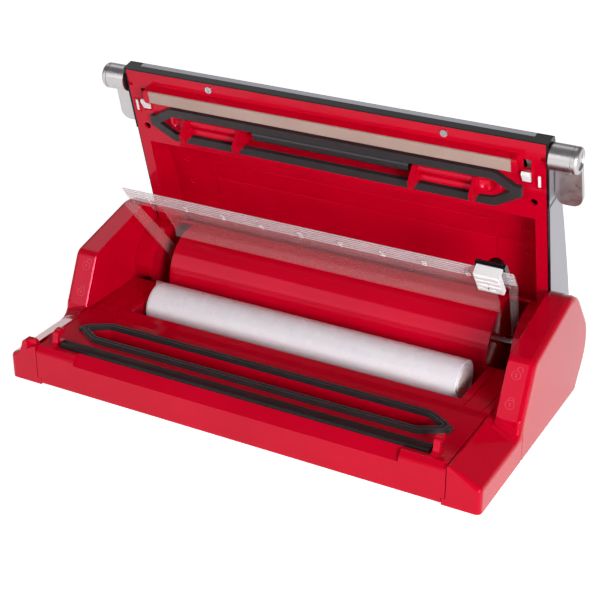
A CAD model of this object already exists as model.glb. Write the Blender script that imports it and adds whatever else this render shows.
# %% [markdown]
# # Dressing a countertop vacuum sealer
# The sealer stands open: a red tray with a rubber ring and a sealing strip, a roll of bag film behind them, a
# clear cover over the roll, and a deep lid with the heating bar. Its solids come from the CAD pack as a fixed
# frame, in metres, so this lesson only adds what gives the eye its clues: finishes, print, film and small
# parts. The pack is loaded first, because everything after it is placed by it.

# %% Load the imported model
import math

import bpy
from mathutils import Matrix, Vector


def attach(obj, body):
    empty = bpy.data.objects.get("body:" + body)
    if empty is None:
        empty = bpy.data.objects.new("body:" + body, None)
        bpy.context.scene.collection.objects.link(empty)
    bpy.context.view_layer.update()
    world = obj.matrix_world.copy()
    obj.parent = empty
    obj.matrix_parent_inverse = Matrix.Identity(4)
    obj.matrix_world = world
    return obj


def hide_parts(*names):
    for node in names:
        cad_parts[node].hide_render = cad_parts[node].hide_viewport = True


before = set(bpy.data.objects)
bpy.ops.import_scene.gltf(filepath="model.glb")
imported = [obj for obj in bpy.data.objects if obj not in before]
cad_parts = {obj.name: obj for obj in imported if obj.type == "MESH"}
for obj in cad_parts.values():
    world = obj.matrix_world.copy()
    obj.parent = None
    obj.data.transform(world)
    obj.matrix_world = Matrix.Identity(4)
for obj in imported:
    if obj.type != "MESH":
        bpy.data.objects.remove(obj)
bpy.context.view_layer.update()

# %% [markdown]
# ## Where the moving parts stand
# The lid and the clear cover turn about one line. It is easiest to model what sits on them as if they were
# shut and level, with y measured from the front face and z from the underside, and then to swing the piece up
# to where its carrier stands. Two matrices do that. They hold the hinge line, the angles and the height of
# the feet. The level of the lid's plate stands here too, because several pieces hang from it.

# %% Places of the base, the cover and the lid
MM = 0.001
HINGE_Y, HINGE_Z = 186.6, 36.06
LID_ANGLE, COVER_ANGLE = 75.58, 54.5
FOOT_HEIGHT = 2.5
MIDDLE_Y = 117.245
PLATE_Z = 46.2
base_place = Matrix.Translation((0, -MIDDLE_Y * MM, FOOT_HEIGHT * MM))


def swung(angle):
    """The place of something drawn shut that now stands open by that angle."""
    there = Matrix.Translation((0, HINGE_Y * MM, HINGE_Z * MM))
    return base_place @ there @ Matrix.Rotation(math.radians(-angle), 4, "X") @ there.inverted()


place_of = {"cover": swung(COVER_ANGLE), "cutter": swung(COVER_ANGLE), "lid": swung(LID_ANGLE)}
hinge_line = base_place @ Vector((0, HINGE_Y * MM, HINGE_Z * MM))
print("hinge line in the frame:", tuple(round(v, 5) for v in hinge_line))

# %% [markdown]
# ## The camera
# A product is usually shown through a long lens from a little above, so that its edges stay nearly parallel.
# The camera is given by its place, its tilt and its turn, and its lens by the focal length on a full frame.

# %% Camera
CAMERA_PLACE = (0.4950, -0.9106, 0.5982)
CAMERA_TILT, CAMERA_TURN = 62.98, 28.58
LENS_MM, SENSOR_MM = 87.04, 36
bpy.ops.object.select_all(action="DESELECT")
bpy.ops.object.camera_add(location=CAMERA_PLACE,
                          rotation=(math.radians(CAMERA_TILT), 0, math.radians(CAMERA_TURN)))
camera = bpy.context.object
camera.name = "camera"
camera.data.sensor_width = SENSOR_MM
camera.data.lens = LENS_MM
camera.data.clip_start = 0.01
bpy.context.scene.camera = camera
print("camera at", tuple(round(v, 4) for v in camera.location))

# %% [markdown]
# ## Small helpers
# A node tree reads well when every node is made in the same way, so one function adds any node with its
# options, its socket values and its links. Colours are written as the hex values that a screen shows, and one
# function turns them into the linear values that the renderer works with. Most real surfaces ask the same
# three things of noise: a gloss that comes and goes in patches, two tones that run into each other, and a
# fine relief. One function lays whichever of them a finish needs.

# %% Helpers for colours and nodes
def linear(hex_colour):
    """The linear RGBA of an sRGB colour such as #bf0021."""
    parts = [int(hex_colour[i:i + 2], 16) / 255 for i in (1, 3, 5)]
    return tuple(c / 12.92 if c <= 0.04045 else ((c + 0.055) / 1.055) ** 2.4 for c in parts) + (1.0,)


def add(tree, kind, sockets={}, links={}, **options):
    """Adds one node with its options, the values of its sockets and what feeds them."""
    node = tree.nodes.new(kind)
    for option, value in options.items():
        setattr(node, option, value)
    for socket, value in sockets.items():
        node.inputs[socket].default_value = value
    for socket, source in links.items():
        tree.links.new(source, node.inputs[socket])
    return node


def start_finish(name, colour, **sockets):
    """A new material with its Principled shader set, and the object's own coordinates to draw patterns by."""
    finish = bpy.data.materials.new(name)
    finish.use_nodes = True
    tree = finish.node_tree
    shader = tree.nodes["Principled BSDF"]
    shader.inputs["Base Color"].default_value = linear(colour)
    for socket, value in sockets.items():
        shader.inputs[socket.replace("_", " ").replace("Ior", "IOR")].default_value = value
    spot = add(tree, "ShaderNodeTexCoord").outputs["Object"]
    return finish, tree, shader, spot


def per_metre(size_mm):
    """The scale of a pattern whose features are that many millimetres apart."""
    return 1000 / size_mm


def spread_noise(tree, spot, size_mm, detail, low, high):
    """Soft noise with features of that size. It stays near its middle, so it is stretched from low to high."""
    noise = add(tree, "ShaderNodeTexNoise", {"Scale": per_metre(size_mm), "Detail": detail}, {"Vector": spot})
    return add(tree, "ShaderNodeMapRange", {"From Min": 0.3, "From Max": 0.7, "To Min": low, "To Max": high},
               {"Value": noise.outputs["Fac"]}).outputs["Result"]


def lay_noise(tree, shader, spot, patches=None, tones=None, grain=()):
    """Lays noise over a finish by the coordinates spot, and returns the links to its topmost relief.

    patches: size in mm, detail, lowest and highest roughness
    tones: size in mm, detail, first and second colour
    grain: size in mm, detail and depth in mm of each layer of relief, from the lowest up
    """
    if patches:
        tree.links.new(spread_noise(tree, spot, *patches), shader.inputs["Roughness"])
    if tones:
        size_mm, detail, first, second = tones
        blend = add(tree, "ShaderNodeMix", {6: linear(first), 7: linear(second)},
                    {0: spread_noise(tree, spot, size_mm, detail, 0, 1)}, data_type="RGBA")
        tree.links.new(blend.outputs[2], shader.inputs["Base Color"])
    relief = {}
    for size_mm, detail, depth_mm in grain:
        noise = add(tree, "ShaderNodeTexNoise", {"Scale": per_metre(size_mm), "Detail": detail},
                    {"Vector": spot})
        bump = add(tree, "ShaderNodeBump", {"Strength": 1.0, "Distance": depth_mm * MM},
                   {"Height": noise.outputs["Fac"], **relief})
        relief = {"Normal": bump.outputs["Normal"]}
    if relief:
        tree.links.new(relief["Normal"], shader.inputs["Normal"])
    return relief


# A wave texture of scale 1 runs through 20 radians in a metre. A wave's step is the length of one radian, in mm.
WAVE_RADIANS = 20
print("crimson in linear light:", [round(c, 4) for c in linear("#bf0021")])

# %% [markdown]
# ## Studio
# The sealer is shown on a plain pale sweep under soft light. A key lamp stands low at its right, a broad one
# stands in front, and one behind lights the upper edges. The world fills the shadows. It is bright at the
# horizon and dims upwards, so that the gloss keeps its colour, and only the camera sees it white throughout.
# The floor glows for the camera, for mirrors and for clear parts, so it looks white in all three.

# %% Floor, lamps and world
def soft_lamp(name, place, aim, size, watts):
    """A square lamp at a place, turned towards a point."""
    bpy.ops.object.select_all(action="DESELECT")
    bpy.ops.object.light_add(type="AREA", location=place)
    lamp = bpy.context.object
    lamp.name = name
    lamp.rotation_euler = (Vector(aim) - Vector(place)).to_track_quat("-Z", "Y").to_euler()
    lamp.data.shape = "SQUARE"
    lamp.data.size = size
    lamp.data.energy = watts


def ray_kinds(tree):
    """1 for a ray from the camera, and 1 for one that a mirror or a refracting part has sent on."""
    path = add(tree, "ShaderNodeLightPath")
    sent_on = add(tree, "ShaderNodeMath", {}, {0: path.outputs["Is Glossy Ray"],
                                               1: path.outputs["Is Transmission Ray"]}, operation="MAXIMUM")
    return path.outputs["Is Camera Ray"], sent_on.outputs["Value"]


soft_lamp("key_lamp", (1.32, -1.1, 0.5), (0.1, 0, 0.1), 0.6, 29)
soft_lamp("front_lamp", (-0.8, -1.6, 0.85), (0, 0, 0.1), 1.1, 8)
soft_lamp("top_lamp", (-0.9, 1.0, 1.9), (0, 0, 0.1), 1.4, 6)

FLOOR_SIZE, FLOOR_GLOW = 24, 0.74
bpy.ops.object.select_all(action="DESELECT")
bpy.ops.mesh.primitive_plane_add(size=FLOOR_SIZE, location=(0, 0, 0))
floor = bpy.context.object
floor.name = "floor"
paper, tree, shader, spot = start_finish("matt_white_paper", "#f6f6f6", Roughness=0.9)
lay_noise(tree, shader, spot, grain=[(2, 2, 0.02)])
shader.inputs["Emission Color"].default_value = linear("#ffffff")
from_camera, sent_on = ray_kinds(tree)
shown = add(tree, "ShaderNodeMath", {}, {0: from_camera, 1: sent_on}, operation="MAXIMUM")
seen = add(tree, "ShaderNodeMath", {1: FLOOR_GLOW}, {0: shown.outputs["Value"]}, operation="MULTIPLY")
tree.links.new(seen.outputs["Value"], shader.inputs["Emission Strength"])
floor.data.materials.append(paper)

# What lights the scene is weaker than what mirrors show, and both dim between two heights above the horizon
FILL_STRENGTH, MIRRORED_STRENGTH = 0.66, 0.9
DIM_FROM, DIM_TO, OVERHEAD = 0.02, 0.35, 0.2
world = bpy.data.worlds.new("white_studio")
world.use_nodes = True
bpy.context.scene.world = world
sky = world.node_tree
from_camera, sent_on = ray_kinds(sky)
direction = add(sky, "ShaderNodeTexCoord").outputs["Generated"]
height = add(sky, "ShaderNodeSeparateXYZ", {}, {"Vector": direction}).outputs["Z"]
dimming = add(sky, "ShaderNodeMapRange",
              {"From Min": DIM_FROM, "From Max": DIM_TO, "To Min": 1.0, "To Max": OVERHEAD}, {"Value": height})
unseen = add(sky, "ShaderNodeMapRange", {"To Min": FILL_STRENGTH, "To Max": MIRRORED_STRENGTH},
             {"Value": sent_on})
glow = add(sky, "ShaderNodeMath", {}, {0: dimming.outputs["Result"], 1: unseen.outputs["Result"]},
           operation="MULTIPLY")
strength = add(sky, "ShaderNodeMath", {}, {0: glow.outputs["Value"], 1: from_camera}, operation="MAXIMUM")
background = sky.nodes["Background"]
background.inputs["Color"].default_value = linear("#ffffff")
sky.links.new(strength.outputs["Value"], background.inputs["Strength"])
bpy.context.scene.view_settings.view_transform = "Standard"

# %% [markdown]
# ## Glossy red ABS
# The housings are injection-moulded ABS with the colour in the plastic and a polished mould. That gives a
# deep crimson with a hard, wet-looking gloss. Close up the gloss is never perfect: the skin has a faint
# orange peel with waves about 4 mm apart, and handling leaves it a little duller in patches. Both come from
# noise, because nothing about them repeats. The pigment reaches into the skin, so its reflections are tinted
# a little as well.

# %% Glossy red ABS
red_abs, tree, shader, spot = start_finish("glossy_red_abs", "#bf0021", Ior=1.5, Specular_IOR_Level=0.55,
                                          Specular_Tint=linear("#ff7896"))
lay_noise(tree, shader, spot, patches=(14, 4, 0.07, 0.13), tones=(60, 2, "#c40023", "#ba001f"),
          grain=[(4, 1, 0.008), (0.8, 3, 0.002)])
print(red_abs.name)

# %% [markdown]
# ## Black plastics and rubber
# Four blacks meet on the sealer. The base pan, the bar between the clips and the inlet are satin ABS from a
# spark-eroded mould, whose fine pits, about 0.7 mm apart, scatter the light. The lid's frame and the cutter's
# knob are the same plastic from a polished mould, glossier and deeper in colour. The gaskets and feet are
# moulded rubber, duller, with a faint bloom at grazing angles. The sealing strip is silicone: dark and
# smooth.

# %% Satin black ABS
black_abs, tree, shader, spot = start_finish("satin_black_abs", "#1d1b1f", Ior=1.54)
lay_noise(tree, shader, spot, patches=(9, 4, 0.3, 0.42), grain=[(0.7, 3, 0.02)])
print(black_abs.name)

# %% Glossy black ABS
gloss_black, tree, shader, spot = start_finish("glossy_black_abs", "#0e0c10", Ior=1.54,
                                               Specular_IOR_Level=0.16)
lay_noise(tree, shader, spot, patches=(12, 4, 0.08, 0.16), grain=[(4, 2, 0.006)])
print(gloss_black.name)

# %% Black EPDM rubber
rubber, tree, shader, spot = start_finish("black_epdm_rubber", "#191619", Ior=1.5, Sheen_Weight=0.12,
                                          Sheen_Roughness=0.4)
lay_noise(tree, shader, spot, patches=(5, 3, 0.42, 0.6), tones=(12, 4, "#171417", "#1f1b1f"),
          grain=[(0.9, 4, 0.03)])
print(rubber.name)

# %% Black silicone
silicone, tree, shader, spot = start_finish("black_silicone", "#0f0d10", Ior=1.41, Specular_IOR_Level=0.3)
lay_noise(tree, shader, spot, patches=(20, 3, 0.32, 0.46), grain=[(3, 3, 0.03)])
print(silicone.name)

# %% [markdown]
# ## Metals
# The lid's outer skin is brushed stainless steel: the belt leaves streaks a few centimetres long and a few
# tenths of a millimetre wide, drawn here 0.8 mm wide so that they show. The handles are satin chrome plate
# over a die casting, which blurs what it mirrors. Screws, pins and the shaft are zinc-plated steel, a cooler
# grey. A metal keeps the shader's own IOR, because its colour already says how it reflects.

# %% Brushed stainless steel
brushed, tree, shader, spot = start_finish("brushed_stainless_steel", "#a4a2a9", Metallic=1.0, Anisotropic=0.5)
streaks = add(tree, "ShaderNodeMapping", {"Scale": (0.02, 1.0, 1.0)}, {"Vector": spot}).outputs["Vector"]
lay_noise(tree, shader, streaks, patches=(0.8, 3, 0.28, 0.42), tones=(0.8, 3, "#9c9aa1", "#acaab1"),
          grain=[(0.8, 3, 0.006)])
print(brushed.name)

# %% Satin chrome plate
chrome, tree, shader, spot = start_finish("satin_chrome_plate", "#bdb9ba", Metallic=1.0)
lay_noise(tree, shader, spot, patches=(6, 3, 0.26, 0.36), grain=[(5, 1, 0.006)])
print(chrome.name)

# %% Zinc-plated steel
zinc, tree, shader, spot = start_finish("zinc_plated_steel", "#bdbcc0", Metallic=1.0)
lay_noise(tree, shader, spot, patches=(3, 3, 0.22, 0.38), grain=[(1.2, 3, 0.01)])
print(zinc.name)

# %% [markdown]
# ## Clear, white and natural materials
# The cover is clear polycarbonate with fine wiping marks. It is drawn as a thin veil, by its alpha, because
# full refraction would darken what lies behind such thin walls. The cutter's carriage and the hooks are white
# acetal, slightly waxy. The bag film is a nylon and polythene sheet with an embossed diamond grid that lets
# the air out: on the roll many layers lie over each other, so it looks white and softly shiny. The grid is
# drawn 15 mm wide, coarser than it is, so that it shows at all. The roll sits on a tube of bleached card.

# %% Clear polycarbonate
clear, tree, shader, spot = start_finish("clear_polycarbonate", "#fbf7fc", Ior=1.585, Alpha=0.06)
lay_noise(tree, shader, spot, patches=(30, 5, 0.02, 0.09), grain=[(12, 2, 0.01)])
print(clear.name)

# %% White acetal
acetal, tree, shader, spot = start_finish("white_acetal", "#e9e6e7", Ior=1.48, Subsurface_Weight=0.15,
                                          Subsurface_Scale=0.002)
lay_noise(tree, shader, spot, patches=(8, 3, 0.3, 0.42), grain=[(1, 3, 0.008)])
print(acetal.name)

# %% Embossed nylon film on the roll
ROLL_Y, ROLL_Z, ROLL_RADIUS = 126.3, 23.6, 19.8
EMBOSS_STEP, EMBOSS_DEPTH = 2.4, 0.02
film, tree, shader, spot = start_finish("embossed_nylon_film", "#f2f0f3", Ior=1.5, Coat_Weight=0.35,
                                        Coat_Roughness=0.18, Subsurface_Weight=0.2, Subsurface_Scale=0.004)
roll_axis = base_place @ Vector((0, ROLL_Y * MM, ROLL_Z * MM))
centred = add(tree, "ShaderNodeMapping", {"Location": -roll_axis}, {"Vector": spot}).outputs["Vector"]
axes = add(tree, "ShaderNodeSeparateXYZ", {}, {"Vector": centred})
turn = add(tree, "ShaderNodeMath", {}, {0: axes.outputs["Z"], 1: axes.outputs["Y"]}, operation="ARCTAN2")
round_way = add(tree, "ShaderNodeMath", {1: ROLL_RADIUS * MM}, {0: turn.outputs["Value"]},
                operation="MULTIPLY")
flat = add(tree, "ShaderNodeCombineXYZ", {}, {"X": axes.outputs["X"], "Y": round_way.outputs["Value"]})
waves = []
for angle in (45, -45):
    laid = add(tree, "ShaderNodeMapping", {"Rotation": (0, 0, math.radians(angle))},
               {"Vector": flat.outputs["Vector"]})
    waves.append(add(tree, "ShaderNodeTexWave",
                     {"Scale": per_metre(EMBOSS_STEP) / WAVE_RADIANS, "Distortion": 0.4},
                     {"Vector": laid.outputs["Vector"]}, wave_profile="SIN").outputs["Fac"])
grid = add(tree, "ShaderNodeMath", {}, {0: waves[0], 1: waves[1]}, operation="MULTIPLY").outputs["Value"]
lay_noise(tree, shader, spot, patches=(25, 4, 0.26, 0.42))
lengthwise = add(tree, "ShaderNodeMapping", {"Scale": (0.03, 1, 1)}, {"Vector": spot}).outputs["Vector"]
sag = lay_noise(tree, shader, lengthwise, tones=(4, 3, "#fdfcfe", "#efe9f1"), grain=[(5, 3, 0.08)])
embossed = add(tree, "ShaderNodeBump", {"Strength": 1.0, "Distance": EMBOSS_DEPTH * MM},
               {"Height": grid, **sag})
tree.links.new(embossed.outputs["Normal"], shader.inputs["Normal"])
print(film.name, "diamonds every", round(EMBOSS_STEP * math.tau, 1), "mm")

# %% Bleached card tube
card, tree, shader, spot = start_finish("bleached_card", "#e3dedb", Roughness=0.85)
fibres = add(tree, "ShaderNodeMapping", {"Scale": (0.25, 1, 1)}, {"Vector": spot}).outputs["Vector"]
lay_noise(tree, shader, fibres, tones=(1.5, 4, "#d8d2cf", "#ece8e6"), grain=[(0.8, 3, 0.05)])
print(card.name)

# %% [markdown]
# ## The heating bar's tape and the inner works
# A resistance wire lies under a tape of glass cloth filled with PTFE, brownish and satin, with its weave
# showing as a fine grid of threads about 0.6 mm apart, drawn 1.2 mm apart. Inside the drum sit a lacquered
# transformer, its wires drawn 7.5 mm apart, a circuit board and a milky hose. They are out of sight, but each
# still gets the surface that it really has.

# %% PTFE glass-cloth tape
THREAD_MM, THREAD_DEPTH = 1.2, 0.02
tape, tree, shader, spot = start_finish("ptfe_glass_tape", "#b39a90", Ior=1.38)
threads = add(tree, "ShaderNodeTexChecker", {"Scale": per_metre(THREAD_MM), "Color1": linear("#bba49a"),
                                            "Color2": linear("#a98f85")}, {"Vector": spot})
worn = add(tree, "ShaderNodeMix", {7: linear("#9d8176")},
           {0: spread_noise(tree, spot, 40, 3, 0, 0.5), 6: threads.outputs["Color"]}, data_type="RGBA")
tree.links.new(worn.outputs[2], shader.inputs["Base Color"])
lay_noise(tree, shader, spot, patches=(15, 3, 0.32, 0.48))
weave = add(tree, "ShaderNodeBump", {"Strength": 1.0, "Distance": THREAD_DEPTH * MM},
            {"Height": threads.outputs["Fac"]})
tree.links.new(weave.outputs["Normal"], shader.inputs["Normal"])
print(tape.name)

# %% Lacquered copper winding
WIRE_STEP, WIRE_DEPTH = 1.2, 0.2
winding, tree, shader, spot = start_finish("lacquered_copper_winding", "#8a4a24", Ior=1.5, Coat_Weight=0.5,
                                           Roughness=0.35)
turns = add(tree, "ShaderNodeTexWave", {"Scale": per_metre(WIRE_STEP) / WAVE_RADIANS, "Distortion": 0.3},
            {"Vector": spot}, bands_direction="X").outputs["Fac"]
copper = add(tree, "ShaderNodeMix", {6: linear("#5e2f15"), 7: linear("#a85e30")}, {0: turns}, data_type="RGBA")
tree.links.new(copper.outputs[2], shader.inputs["Base Color"])
wires = add(tree, "ShaderNodeBump", {"Strength": 1.0, "Distance": WIRE_DEPTH * MM}, {"Height": turns})
tree.links.new(wires.outputs["Normal"], shader.inputs["Normal"])
print(winding.name)

# %% Glass-epoxy circuit board
TRACK_MM, TRACK_DEPTH = 6, 0.04
board, tree, shader, spot = start_finish("green_glass_epoxy_board", "#1d6b3a", Ior=1.5, Roughness=0.35)
tracks = add(tree, "ShaderNodeTexBrick", {"Scale": per_metre(TRACK_MM), "Mortar Size": 0.04,
                                          "Color1": linear("#1b6436"), "Color2": linear("#1f7040"),
                                          "Mortar": linear("#3b8f5c")}, {"Vector": spot})
tree.links.new(tracks.outputs["Color"], shader.inputs["Base Color"])
etched = add(tree, "ShaderNodeBump", {"Strength": 1.0, "Distance": TRACK_DEPTH * MM},
             {"Height": tracks.outputs["Fac"]})
tree.links.new(etched.outputs["Normal"], shader.inputs["Normal"])
print(board.name)

# %% Red lamp lens and milky hose
lens, tree, shader, spot = start_finish("red_acrylic_lens", "#d3222a", Ior=1.49, Transmission_Weight=0.6,
                                        Roughness=0.12)
lay_noise(tree, shader, spot, grain=[(1.2, 2, 0.02)])
hose, tree, shader, spot = start_finish("milky_silicone_hose", "#d9d8dc", Ior=1.41, Subsurface_Weight=0.4,
                                        Subsurface_Scale=0.003)
lay_noise(tree, shader, spot, patches=(10, 3, 0.35, 0.5), grain=[(2, 3, 0.02)])
print(lens.name, hose.name)

# %% [markdown]
# ## Give every solid its finish
# Each CAD node is one moulded, turned or bought part, so each takes one material. A short table from finish
# to node names is easier to read and to correct than forty separate calls.

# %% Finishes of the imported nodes
finishes = {
    red_abs: ["base_deck", "arm_left", "arm_right", "rear_drum", "lid_inner", "bar_platform", "clip_inserts",
              "catches", "bar_clamps", "lid_tabs"],
    gloss_black: ["lid_shell", "cutter_knob"],
    black_abs: ["base_pan", "bridge_bar", "mains_inlet", "vacuum_pump"],
    rubber: ["deck_gasket", "lid_gasket", "feet"],
    silicone: ["seal_strip"],
    brushed: ["lid_panel"],
    chrome: ["handle_left", "handle_right", "seal_button", "vacuum_button"],
    zinc: ["hinge_pins", "handle_shaft", "pan_screws", "plate_screws", "cutter_blade", "pump_motor"],
    clear: ["clear_cover"],
    acetal: ["cutter_carriage", "latch_hooks"],
    film: ["film_roll"],
    card: ["roll_core"],
    tape: ["heating_bar"],
    winding: ["transformer"],
    board: ["circuit_board", "control_board"],
    lens: ["lamp_lens"],
    hose: ["vacuum_hose"],
}
for finish, names in finishes.items():
    for name in names:
        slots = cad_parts[name].data.materials
        slots.clear()
        slots.append(finish)
print("dressed", sum(len(names) for names in finishes.values()), "of", len(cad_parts), "nodes")

# %% [markdown]
# ## Tools for the small pieces
# Every piece below starts as a primitive, a text or a curve, is shaped as a mesh, and is then swung to where
# its carrier stands. An operator acts on all that is selected, so each piece starts with nothing selected. At
# the end its place goes into its mesh, and it gets a finish, the material slot that it stands for and the
# body that it rides on.

# %% Helpers for pieces
def start_fresh():
    """Back to object mode with nothing selected."""
    if bpy.context.object and bpy.context.object.mode != "OBJECT":
        bpy.ops.object.mode_set(mode="OBJECT")
    bpy.ops.object.select_all(action="DESELECT")


def only(piece):
    """Makes the piece the only one that the operators act on."""
    start_fresh()
    piece.select_set(True)
    bpy.context.view_layer.objects.active = piece


def settle(piece, name, place, body, finish, smooth_angle=30):
    """Names the piece, puts its place into its mesh, and dresses and mounts it."""
    only(piece)
    piece.name = name
    piece.data.name = name
    piece.matrix_world = place @ piece.matrix_world
    bpy.ops.object.transform_apply(location=True, rotation=True, scale=True)
    bpy.ops.object.shade_smooth_by_angle(angle=math.radians(smooth_angle))
    piece.data.materials.clear()
    piece.data.materials.append(finish)
    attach(piece, body)
    print(name, "rides on", body, "with", len(piece.data.polygons), "faces")


def bar_along_x(outline, x0, x1):
    """A solid bar whose outline is given as y and z in millimetres."""
    start_fresh()
    bpy.ops.mesh.primitive_circle_add(vertices=len(outline), fill_type="NGON")
    bar = bpy.context.object
    for corner, (y, z) in zip(bar.data.vertices, outline):
        corner.co = (x0 * MM, y * MM, z * MM)
    bpy.ops.object.mode_set(mode="EDIT")
    bpy.ops.mesh.select_all(action="SELECT")
    bpy.ops.mesh.extrude_region_move(TRANSFORM_OT_translate={"value": ((x1 - x0) * MM, 0, 0)})
    bpy.ops.mesh.select_all(action="SELECT")
    bpy.ops.mesh.normals_make_consistent(inside=False)
    bpy.ops.object.mode_set(mode="OBJECT")
    return bar


def as_one(pieces):
    """Joins several objects into the first of them."""
    only(pieces[0])
    for piece in pieces[1:]:
        piece.select_set(True)
    bpy.ops.object.join()
    return bpy.context.object


print("helpers: start_fresh, only, settle, bar_along_x, as_one")

# %% [markdown]
# ## The ribbed band of the clear cover
# Along its free edge the cover is thicker and ribbed lengthwise, for grip and to hide scratches, and its
# frosted back makes the band milky. A thin skin and six ribs are each an outline that is pulled along x. The
# skin sinks a little into the clear band below it, so that no film of air shows between them. The ribs are
# thicker than the skin and catch more light, so they are a piece of their own with a milkier finish, and show
# as fine pale lines.

# %% Skin of the band
BAND_TOP = HINGE_Z + 1.5
BAND_FRONT, BAND_BACK = HINGE_Y - 112.2, HINGE_Y - 94.8
SKIN_END, SKIN_SINK, SKIN_RISE = 174.6, 0.1, 0.15
band_skin = bar_along_x([(BAND_FRONT, BAND_TOP - SKIN_SINK), (BAND_BACK, BAND_TOP - SKIN_SINK),
                         (BAND_BACK, BAND_TOP + SKIN_RISE), (BAND_FRONT, BAND_TOP + SKIN_RISE)],
                        -SKIN_END, SKIN_END)

# %% Frosted polycarbonate
frosted, tree, shader, spot = start_finish("frosted_polycarbonate", "#fffafd", Ior=1.585, Alpha=0.2)
lay_noise(tree, shader, spot, patches=(6, 4, 0.34, 0.5), grain=[(1.2, 3, 0.03)])
settle(band_skin, "cover_skin", place_of["cover"], "cover", frosted, 20)

# %% Ribs of the band
RIB_PITCH, RIB_WIDTH, RIB_HEIGHT, RIB_END = 3.0, 1.1, 0.65, 174.2
RIB_ROOT, RIB_TAPER, FIRST_RIB = 0.1, 0.25, BAND_BACK - 0.3
ribs = []
for count in range(6):
    back = FIRST_RIB - count * RIB_PITCH
    front = back - RIB_WIDTH
    root, crest = BAND_TOP + RIB_ROOT, BAND_TOP + RIB_HEIGHT
    ribs.append(bar_along_x([(front, root), (back, root), (back - RIB_TAPER, crest),
                             (front + RIB_TAPER, crest)], -RIB_END, RIB_END))

# %% Milky polycarbonate
milky, tree, shader, spot = start_finish("milky_polycarbonate", "#fff7fb", Ior=1.585, Alpha=0.6)
lay_noise(tree, shader, spot, patches=(6, 4, 0.2, 0.36))
settle(as_one(ribs), "cover_ribs", place_of["cover"], "cover", milky, 20)

# %% [markdown]
# ## The numbers on the cover
# Plain numbers from 1 to 9 stand along the band. Clear covers are usually printed on their underside, where
# the ink doesn't wear, and reversed so that they read right from above. Each number is a text as thick as
# printed ink. It is turned into a mesh, so that all nine join into one piece.

# %% Numbers
INK_THICKNESS, NUMBER_SIZE = 0.12, 10
FIRST_NUMBER_X, NUMBER_PITCH, NUMBER_Y, BAND_UNDER = -148, 35.75, HINGE_Y - 107.4, HINGE_Z - 1.5
numbers = []
for count in range(9):
    start_fresh()
    bpy.ops.object.text_add(location=((FIRST_NUMBER_X + NUMBER_PITCH * count) * MM, NUMBER_Y * MM,
                                      (BAND_UNDER - INK_THICKNESS / 2) * MM))
    number = bpy.context.object
    number.data.body = str(count + 1)
    number.data.size = NUMBER_SIZE * MM
    number.data.align_x = "CENTER"
    number.data.extrude = INK_THICKNESS / 2 * MM
    number.data.resolution_u = 4
    bpy.ops.object.convert(target="MESH")
    numbers.append(bpy.context.object)
numbers = as_one(numbers)

# %% White printing ink
ink, tree, shader, spot = start_finish("white_printing_ink", "#f7f4f6", Ior=1.5)
lay_noise(tree, shader, spot, patches=(1.5, 3, 0.35, 0.55), tones=(2, 4, "#f9f7f8", "#ece6ea"))
settle(numbers, "cover_numbers", place_of["cover"], "cover", ink)

# %% [markdown]
# ## The cutter's grip
# The underside of the white carriage is stepped lengthwise, so that a finger pushes it without slipping. Four
# ridges of slightly different width, with eased edges, do that. They share the carriage's acetal.

# %% Ridges below the carriage
CARRIAGE_UNDER, RIDGE_ROOT, RIDGE_EASE = HINGE_Z - 6.3, 0.3, 0.5
GRIP_LEFT, GRIP_RIGHT, LAST_RIDGE_RIGHT = 146.4, 165.6, 160
ridges = []
for start, width, height in ((113.9, 5.2, 0.9), (107.3, 4.6, 0.7), (101.3, 4.4, 0.8), (95.6, 2.6, 0.6)):
    y = HINGE_Y - start
    root, crest = CARRIAGE_UNDER + RIDGE_ROOT, CARRIAGE_UNDER - height
    shoulder = CARRIAGE_UNDER - height / 2
    ridges.append(bar_along_x([(y, root), (y, shoulder), (y + RIDGE_EASE, crest),
                               (y + width - RIDGE_EASE, crest), (y + width, shoulder), (y + width, root)],
                              GRIP_LEFT, GRIP_RIGHT if start > 100 else LAST_RIDGE_RIGHT))
settle(as_one(ridges), "carriage_grip", place_of["cutter"], "cutter", acetal)

# %% [markdown]
# ## The wound film
# A film roll is never as true as a turned tube. Its layers end a little unevenly, which shows as fine rings
# at the ends, and the outermost turn stands out at two places. The wound body is spun from a profile with
# stepped ends, and it replaces the plain tube of the pack.

# %% The wound body
def jitter(step, reach):
    """A repeatable uneven offset for a layer."""
    return reach * (math.sin(step * 2.4) + math.sin(step * 5.9 + 1.3)) / 2


FILM_LEFT, FILM_RIGHT, CORE_RADIUS = -145, 139.7, 13.02
LAYERS, LAYER, LAYER_GAP, RAGGED_LEFT, RAGGED_RIGHT = 15, 0.42, 0.06, 0.9, 0.7
OUTER_LEFT, OUTER_RIGHT, OUTER_RISE = 2.2, 2.0, 0.12
left_end, right_end = [], []
for step in range(LAYERS):
    low, high = CORE_RADIUS + step * LAYER, CORE_RADIUS + (step + 1) * LAYER
    x_left = FILM_LEFT + RAGGED_LEFT + jitter(step, RAGGED_LEFT)
    x_right = FILM_RIGHT - RAGGED_RIGHT + jitter(step + 3, RAGGED_RIGHT)
    left_end += [(x_left, low), (x_left, high - LAYER_GAP)]
    right_end += [(x_right, low), (x_right, high - LAYER_GAP)]
outer_radius = CORE_RADIUS + LAYERS * LAYER + OUTER_RISE
outer_turns = [(FILM_LEFT + OUTER_LEFT, outer_radius), (FILM_RIGHT - OUTER_RIGHT, outer_radius)]
profile = left_end + outer_turns + right_end[::-1]
start_fresh()
bpy.ops.mesh.primitive_circle_add(vertices=len(profile), fill_type="NOTHING")
wound = bpy.context.object
for corner, (x, r) in zip(wound.data.vertices, profile):
    corner.co = (x * MM, 0, r * MM)
bpy.ops.object.mode_set(mode="EDIT")
bpy.ops.mesh.select_all(action="SELECT")
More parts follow.
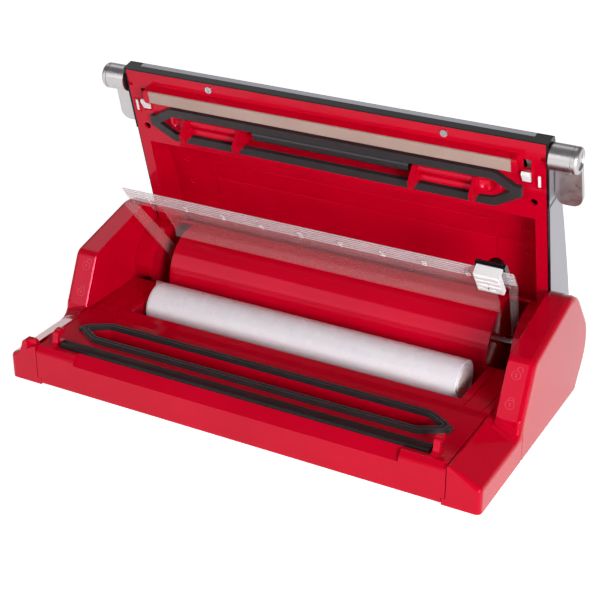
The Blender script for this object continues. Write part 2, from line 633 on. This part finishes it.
bpy.ops.mesh.spin(steps=96, angle=math.tau, center=(0, 0, 0), axis=(1, 0, 0))
bpy.ops.mesh.select_all(action="SELECT")
bpy.ops.mesh.remove_doubles(threshold=0.00001)
bpy.ops.mesh.normals_make_consistent(inside=False)
bpy.ops.object.mode_set(mode="OBJECT")
roll_place = base_place @ Matrix.Translation((0, ROLL_Y * MM, ROLL_Z * MM))
settle(wound, "wound_film", roll_place, "film", film, 40)
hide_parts("film_roll")

# %% [markdown]
# ## The loose outer turn
# The last turn of film is a single clear sheet, stiff enough to keep its curve. At the left it stands out at
# the back of the roll, and at the right below its front. It is a grid that is laid round the roll point by
# point, with its two side edges let out where they stand proud, and then given a thickness.

# %% The outer turn
def hump(angle, centre, half_width):
    """A smooth hump, 1 at its centre and 0 from half_width on, in degrees."""
    away = abs((angle - centre + 180) % 360 - 180) / half_width
    return (0.5 + 0.5 * math.cos(math.pi * away)) if away < 1 else 0.0


start_fresh()
AROUND, ALONG, SHEET_THICKNESS = 120, 24, 0.12
FIRST_ANGLE, SWEEP, EDGE_INSET = -75, 300, 0.4
LEFT_HUMP, LEFT_REACH, RIGHT_HUMP, RIGHT_REACH = (118, 42), 6.5, (-35, 60), 9
LIP_FROM, LIP_WIDTH, LIP_RISE = 0.92, 0.08, 1.6
TURN_RADIUS, TURN_RISE = 19.62, 0.18
bpy.ops.mesh.primitive_grid_add(x_subdivisions=ALONG, y_subdivisions=AROUND, size=2)
turn_sheet = bpy.context.object
for corner in turn_sheet.data.vertices:
    across, way = (corner.co.x + 1) / 2, (corner.co.y + 1) / 2
    angle = FIRST_ANGLE + SWEEP * way
    right_out = hump(angle, *RIGHT_HUMP)
    left = FILM_LEFT + EDGE_INSET - LEFT_REACH * hump(angle, *LEFT_HUMP)
    right = FILM_RIGHT - EDGE_INSET + RIGHT_REACH * right_out
    beyond = max(0.0, (across - LIP_FROM) / LIP_WIDTH) * right_out
    radius = TURN_RADIUS + TURN_RISE * way + LIP_RISE * beyond ** 2
    x = left + (right - left) * across
    turned = math.radians(180 - angle)
    corner.co = (x * MM, radius * math.cos(turned) * MM, radius * math.sin(turned) * MM)
thick = turn_sheet.modifiers.new("thickness", "SOLIDIFY")
thick.thickness = SHEET_THICKNESS * MM
thick.offset = 1
only(turn_sheet)
bpy.ops.object.modifier_apply(modifier="thickness")
bpy.ops.object.mode_set(mode="EDIT")
bpy.ops.mesh.select_all(action="SELECT")
bpy.ops.mesh.normals_make_consistent(inside=False)
bpy.ops.object.mode_set(mode="OBJECT")

# %% Single sheet of bag film
sheet_film, tree, shader, spot = start_finish("single_nylon_film", "#f7f4f8", Ior=1.5, Alpha=0.3)
lay_noise(tree, shader, spot, patches=(12, 4, 0.18, 0.34))
lengthwise = add(tree, "ShaderNodeMapping", {"Scale": (0.04, 1, 1)}, {"Vector": spot}).outputs["Vector"]
lay_noise(tree, shader, lengthwise, grain=[(4, 3, 0.06)])
settle(turn_sheet, "outer_turn", roll_place, "film", sheet_film, 60)

# %% [markdown]
# ## The padlock signs
# Each arm carries two plain signs on its front slope, an open padlock above and a closed one below it, which
# say where the handles stand unlocked and locked. They are pad-printed as thin outlines. A curve with a small
# bevel makes such a line. It is turned into a mesh, flattened, and laid on the slope.

# %% Padlock outlines
PEN_RADIUS, PEN_FLATTENED = 0.24, 0.35
LOCK_RADIUS, KEYHOLE_RADIUS, SHACKLE_RADIUS = 3.4, 0.6, 2.1


def pen_line(points, closed=False):
    """A thin round line through the points, in millimetres, as a mesh."""
    start_fresh()
    path = bpy.data.curves.new("pen_line", "CURVE")
    path.dimensions = "3D"
    path.bevel_depth = PEN_RADIUS * MM
    path.bevel_resolution = 1
    path.use_fill_caps = True
    spline = path.splines.new("POLY")
    spline.points.add(len(points) - 1)
    for knot, (x, y) in zip(spline.points, points):
        knot.co = (x * MM, y * MM, 0, 1)
    spline.use_cyclic_u = closed
    stroke = bpy.data.objects.new("pen_line", path)
    bpy.context.collection.objects.link(stroke)
    only(stroke)
    bpy.ops.object.convert(target="MESH")
    return bpy.context.object


def ring(centre, radius, first, last, steps):
    """Points on an arc, in degrees."""
    return [(centre[0] + radius * math.cos(math.radians(first + (last - first) * i / steps)),
             centre[1] + radius * math.sin(math.radians(first + (last - first) * i / steps)))
            for i in range(steps + 1)]


def padlock(shackle_x, shackle_y):
    """A round padlock with a keyhole, its shackle centred on the given spot."""
    strokes = [pen_line(ring((0, 0), LOCK_RADIUS, 0, 350, 35), closed=True),
               pen_line(ring((0, 0.7), KEYHOLE_RADIUS, 0, 330, 11), closed=True),
               pen_line([(0, 0.1), (0, -1.5)]),
               pen_line(ring((shackle_x, shackle_y), SHACKLE_RADIUS, -35, 215, 25))]
    return as_one(strokes)


SLOPE_UP, SLOPE_OUT = Vector((0, 0.43, 0.9028)), Vector((0, -0.9028, 0.43))
sign_ink, tree, shader, spot = start_finish("pale_printing_ink", "#d42c48", Ior=1.5)
lay_noise(tree, shader, spot, patches=(1.5, 3, 0.3, 0.5), tones=(1.5, 4, "#d9334e", "#cc2541"))
for state, shackle, seat in (("open", (2.3, 4.3), (91.0, 64.3)), ("closed", (0.5, 3.5), (81.4, 44.1))):
    for side, x in (("left", -192.6), ("right", 193.4)):
        sign = padlock(*shackle)
        flat = Matrix.Diagonal((1, 1, PEN_FLATTENED, 1))
        turned = Matrix((Vector((1, 0, 0)), SLOPE_UP, SLOPE_OUT)).transposed().to_4x4()
        seat_place = Matrix.Translation((x * MM, seat[0] * MM, seat[1] * MM))
        settle(sign, f"{state}_sign_{side}", base_place @ seat_place @ turned @ flat, "base", sign_ink)

# %% [markdown]
# ## Mould marks in the lid
# The roof of the lid's recess has a fine raised outline, where the mould had an insert, and small round marks
# of the ejector pins near its ends. They are less than half a millimetre high, yet they catch the light as
# thin lines, so they are modelled. Each follows the roof, which rises in three planes.

# %% Outline on the roof
ROOF = [(66, PLATE_Z), (83.4, 67.3), (112.4, 72.6), (150, 74.4)]


def roof_at(y):
    """The height of the recess's roof over the underside, lid shut."""
    for (y0, z0), (y1, z1) in zip(ROOF, ROOF[1:]):
        if y <= y1:
            return z0 + (z1 - z0) * (y - y0) / (y1 - y0)
    return ROOF[-1][1]


FRAME_X, FRAME_Y0, FRAME_Y1 = 130.5, 92.6, 147.0
LINE_WIDTH, LINE_HEIGHT, ROOF_SINK = 0.7, 0.4, 0.2
lines = []
for y in (FRAME_Y0, FRAME_Y1):
    root, edge = roof_at(y) + ROOF_SINK, roof_at(y) - LINE_HEIGHT
    lines.append(bar_along_x([(y, root), (y, edge), (y + LINE_WIDTH, edge), (y + LINE_WIDTH, root)],
                             -FRAME_X, FRAME_X))
for x in (-FRAME_X, FRAME_X - LINE_WIDTH):
    rows = [FRAME_Y0 + 0.1, ROOF[2][0], FRAME_Y1 + LINE_WIDTH - 0.1]
    lines.append(bar_along_x([(y, roof_at(y) + ROOF_SINK) for y in rows] +
                             [(y, roof_at(y) - LINE_HEIGHT) for y in reversed(rows)], x, x + LINE_WIDTH))
settle(as_one(lines), "roof_outline", place_of["lid"], "lid", red_abs)

# %% Ejector marks
MARK_X, MARK_YS = 156.6, (121.2, 96.0)
MARK_RADIUS, MARK_HEIGHT, MARK_RIM, MARK_DISH = 3.7, 0.5, 0.45, 0.3
marks = []
for x, y in [(x, y) for y in MARK_YS for x in (-MARK_X, MARK_X)]:
    start_fresh()
    bpy.ops.mesh.primitive_circle_add(vertices=40, radius=MARK_RADIUS * MM, fill_type="NGON")
    mark = bpy.context.object
    bpy.ops.object.mode_set(mode="EDIT")
    bpy.ops.mesh.select_all(action="SELECT")
    bpy.ops.mesh.extrude_region_move(TRANSFORM_OT_translate={"value": (0, 0, -MARK_HEIGHT * MM)})
    bpy.ops.mesh.inset(thickness=MARK_RIM * MM, depth=0)
    bpy.ops.transform.translate(value=(0, 0, MARK_DISH * MM))
    bpy.ops.mesh.select_all(action="SELECT")
    bpy.ops.mesh.normals_make_consistent(inside=False)
    bpy.ops.object.mode_set(mode="OBJECT")
    tilt = math.atan2(roof_at(y + 1) - roof_at(y - 1), 2)
    mark.matrix_world = (Matrix.Translation((x * MM, y * MM, (roof_at(y) + ROOF_SINK) * MM)) @
                         Matrix.Rotation(tilt, 4, "X"))
    marks.append(mark)
settle(as_one(marks), "ejector_marks", place_of["lid"], "lid", red_abs)

# %% [markdown]
# ## Frames round the latches
# On the lid's plate a low raised frame runs round each latch slot and round the small tab beside it. It is
# a ring with square corners: a plane is inset, its middle is taken out, and the ring is pulled to its height.

# %% Raised frames
def raised_frame(x0, x1, y0, y1, width, top, height):
    """A square-cornered ring, hanging below the level top by height, in millimetres."""
    start_fresh()
    bpy.ops.mesh.primitive_plane_add(size=1, location=((x0 + x1) / 2 * MM, (y0 + y1) / 2 * MM, top * MM))
    piece = bpy.context.object
    piece.scale = ((x1 - x0) * MM, (y1 - y0) * MM, 1)
    bpy.ops.object.transform_apply(location=True, rotation=True, scale=True)
    bpy.ops.object.mode_set(mode="EDIT")
    bpy.ops.mesh.select_all(action="SELECT")
    bpy.ops.mesh.inset(thickness=width * MM, depth=0)
    bpy.ops.mesh.delete(type="FACE")
    bpy.ops.mesh.select_all(action="SELECT")
    bpy.ops.mesh.extrude_region_move(TRANSFORM_OT_translate={"value": (0, 0, -height * MM)})
    bpy.ops.mesh.select_all(action="SELECT")
    bpy.ops.mesh.normals_make_consistent(inside=False)
    bpy.ops.object.mode_set(mode="OBJECT")
    return piece


FRAME_WIDTH, FRAME_SINK, FRAME_DEPTH = 1.1, 0.2, 0.8
frames = []
for sign in (-1, 1):
    for near, far, y0, y1 in ((162.6, 172.4, 21.5, 34.8), (174.8, 181.4, 23.8, 37.0)):
        frames.append(raised_frame(min(sign * near, sign * far), max(sign * near, sign * far), y0, y1,
                                   FRAME_WIDTH, PLATE_Z + FRAME_SINK, FRAME_DEPTH))
settle(as_one(frames), "latch_frames", place_of["lid"], "lid", red_abs)

# %% [markdown]
# ## White stripes on the lid's tabs
# Each of the two red tabs beside the latches carries a white stripe along its inner half. It is a thin bar
# with eased ends: an outline in the plane of the lid's side, pulled along for the two millimetres of its
# width.

# %% Tab stripes
STRIPE_Y0, STRIPE_Y1, STRIPE_EASE = 25.5, 35.3, 0.3
STRIPE_ROOT, STRIPE_SHOULDER, STRIPE_FACE = PLATE_Z - 0.5, PLATE_Z - 0.7, PLATE_Z - 0.9
stripes = []
for first, last in ((-178.3, -176.3), (176.3, 178.3)):
    stripes.append(bar_along_x([(STRIPE_Y0, STRIPE_ROOT), (STRIPE_Y0, STRIPE_SHOULDER),
                                (STRIPE_Y0 + STRIPE_EASE, STRIPE_FACE), (STRIPE_Y1 - STRIPE_EASE, STRIPE_FACE),
                                (STRIPE_Y1, STRIPE_SHOULDER), (STRIPE_Y1, STRIPE_ROOT)], first, last))
settle(as_one(stripes), "tab_stripes", place_of["lid"], "lid", acetal)
